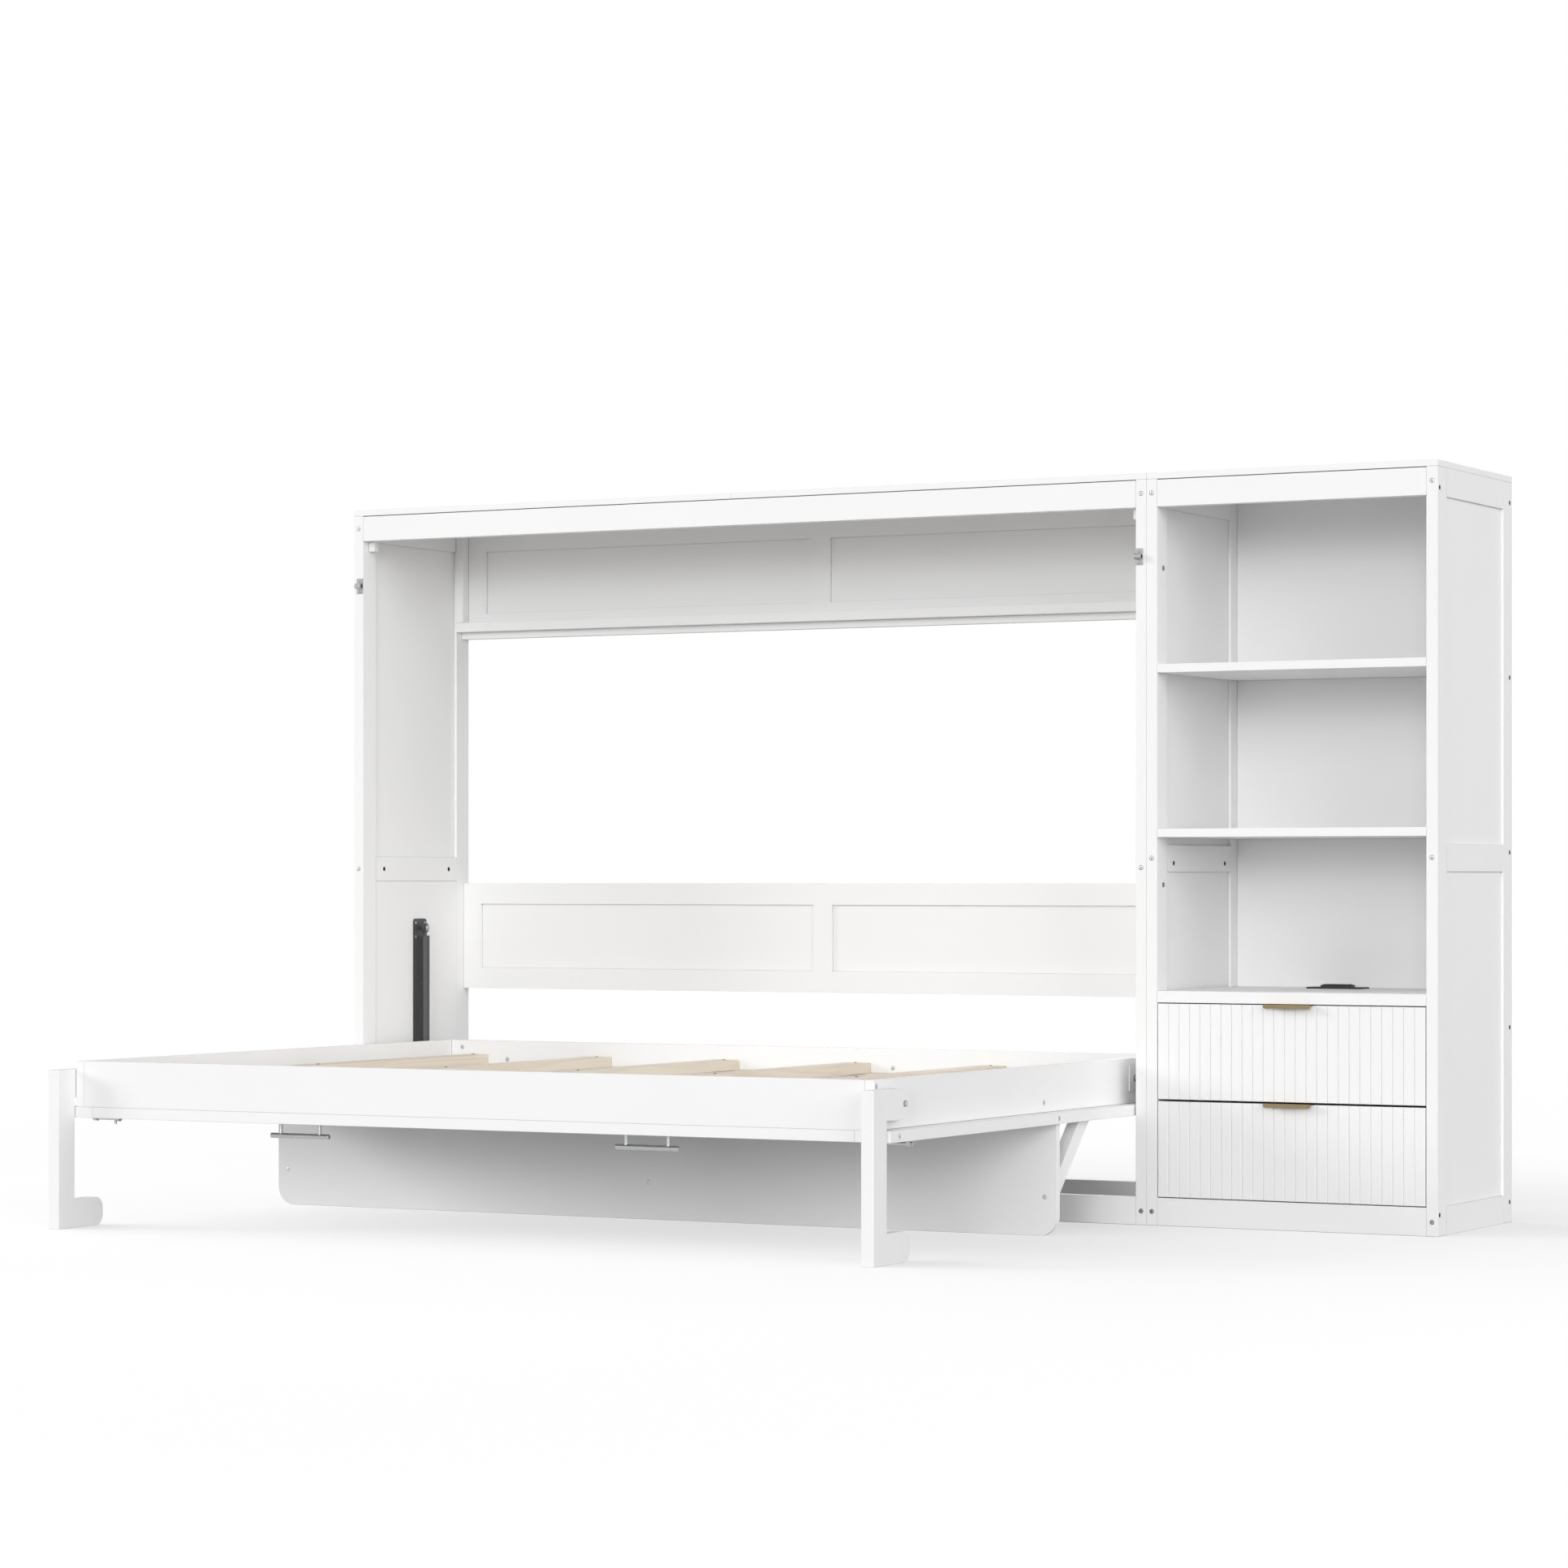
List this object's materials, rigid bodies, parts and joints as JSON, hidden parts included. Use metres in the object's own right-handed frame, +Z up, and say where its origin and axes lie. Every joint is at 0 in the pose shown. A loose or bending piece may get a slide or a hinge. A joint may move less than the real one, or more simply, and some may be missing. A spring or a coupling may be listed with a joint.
{
  "type": "wall bed",
  "caption": "White fold-down wall bed shown open, with slats, folding legs and gas struts, beside a bookcase with shelves and fluted drawers.",
  "frame": {"origin": "on the floor, under the middle of the outline of the open bed, legs and cabinet together", "axes": "+X runs along the cabinet from the bed towards the bookcase, +Y runs from the foot of the open bed to the wall, +Z is up"},
  "size_m": [2.935, 1.815, 1.755],
  "materials": {
    "white_paint": "smooth satin white lacquer on board",
    "pine": "planed pale pine, unfinished",
    "black_steel": "black powder coat",
    "bright_steel": "bright plated steel",
    "bolt_steel": "dull zinc plated steel",
    "brass": "brushed satin brass",
    "black_plastic": "black moulded plastic"
  },
  "bodies": {
    "cabinet": {"left_side_stiles": "white_paint", "left_side_panel": "white_paint", "right_side_stiles": "white_paint", "right_side_panel": "white_paint", "top_board_left": "white_paint", "top_board_right": "white_paint", "top_fascia": "white_paint", "upper_back_panel": "white_paint", "ledge_shelf": "white_paint", "ledge_ends": "white_paint", "headboard_panel": "white_paint", "base_rails": "white_paint", "pivot_plates": "bolt_steel", "strut_brackets": "black_steel", "latch_keepers": "bright_steel", "stop_blocks": "white_paint", "case_left_stiles": "white_paint", "case_left_panel": "white_paint", "case_right_stiles": "white_paint", "case_right_panel": "white_paint", "case_top_board": "white_paint", "case_fascia": "white_paint", "case_base_rail": "white_paint", "case_back_panel": "white_paint", "case_upper_shelf": "white_paint", "case_lower_shelf": "white_paint", "drawer_deck": "white_paint", "power_outlet": "black_plastic", "drawer_runners": "bolt_steel", "frame_bolts": "bolt_steel"},
    "bed": {"bed_front_rail": "white_paint", "bed_back_rail": "white_paint", "bed_left_rail": "white_paint", "bed_right_rail": "white_paint", "slat_cleats": "pine", "center_beam": "pine", "bed_slats": "pine", "door_stiles": "white_paint", "door_rails": "white_paint", "door_infills": "white_paint", "stand_panel": "white_paint", "stand_braces": "white_paint", "pull_handles": "bright_steel", "hinge_plates": "white_paint", "latch_bodies": "bright_steel", "bed_bolts": "bolt_steel"},
    "left_leg": {"left_leg": "white_paint"},
    "left_latch_bolt": {"left_latch_bolt": "bright_steel"},
    "left_strut_cylinder": {"left_strut_cylinder": "black_steel"},
    "left_strut_rod": {"left_strut_rod": "bright_steel"},
    "right_leg": {"right_leg": "white_paint"},
    "right_latch_bolt": {"right_latch_bolt": "bright_steel"},
    "right_strut_cylinder": {"right_strut_cylinder": "black_steel"},
    "right_strut_rod": {"right_strut_rod": "bright_steel"},
    "upper_drawer": {"upper_drawer_front": "white_paint", "upper_drawer_box": "white_paint", "upper_drawer_pull": "brass"},
    "lower_drawer": {"lower_drawer_front": "white_paint", "lower_drawer_box": "white_paint", "lower_drawer_pull": "brass"}
  },
  "joints": [
    {"name": "bed_fold", "type": "hinge", "parent": "cabinet", "child": "bed", "pos_m": [-0.358, 0.4885, 0.339], "axis": [-1, 0, 0], "range_deg": [0, 85]},
    {"name": "left_leg_fold", "type": "hinge", "parent": "bed", "child": "left_leg", "pos_m": [-1.415, -0.7635, 0.3345], "axis": [-1, 0, 0], "range_deg": [0, 180]},
    {"name": "left_latch_slide", "type": "slide", "parent": "bed", "child": "left_latch_bolt", "axis": [-1, 0, 0], "range_m": [0, 0.02]},
    {"name": "left_strut_swing", "type": "hinge", "parent": "cabinet", "child": "left_strut_cylinder", "pos_m": [-1.4215, 0.6675, 0.68], "axis": [-1, 0, 0], "range_deg": [0, 17.52]},
    {"name": "left_strut_slide", "type": "slide", "parent": "left_strut_cylinder", "child": "left_strut_rod", "axis": [0, 0, -1], "range_m": [0, 0.2039]},
    {"name": "right_leg_fold", "type": "hinge", "parent": "bed", "child": "right_leg", "pos_m": [0.699, -0.7635, 0.3345], "axis": [-1, 0, 0], "range_deg": [0, 180]},
    {"name": "right_latch_slide", "type": "slide", "parent": "bed", "child": "right_latch_bolt", "axis": [1, 0, 0], "range_m": [0, 0.02]},
    {"name": "right_strut_swing", "type": "hinge", "parent": "cabinet", "child": "right_strut_cylinder", "pos_m": [0.7055, 0.6675, 0.68], "axis": [-1, 0, 0], "range_deg": [0, 17.52]},
    {"name": "right_strut_slide", "type": "slide", "parent": "right_strut_cylinder", "child": "right_strut_rod", "axis": [0, 0, -1], "range_m": [0, 0.2039]},
    {"name": "upper_drawer_slide", "type": "slide", "parent": "cabinet", "child": "upper_drawer", "axis": [0, -1, 0], "range_m": [0, 0.35]},
    {"name": "lower_drawer_slide", "type": "slide", "parent": "cabinet", "child": "lower_drawer", "axis": [0, -1, 0], "range_m": [0, 0.35]}
  ],
  "couplings": [
    {"joint": "left_strut_swing", "follows": "bed_fold", "ratio": 0.20548},
    {"joint": "left_strut_slide", "follows": "bed_fold", "m_per_rad": 0.13712},
    {"joint": "right_strut_swing", "follows": "bed_fold", "ratio": 0.20548},
    {"joint": "right_strut_slide", "follows": "bed_fold", "m_per_rad": 0.13712}
  ]
}
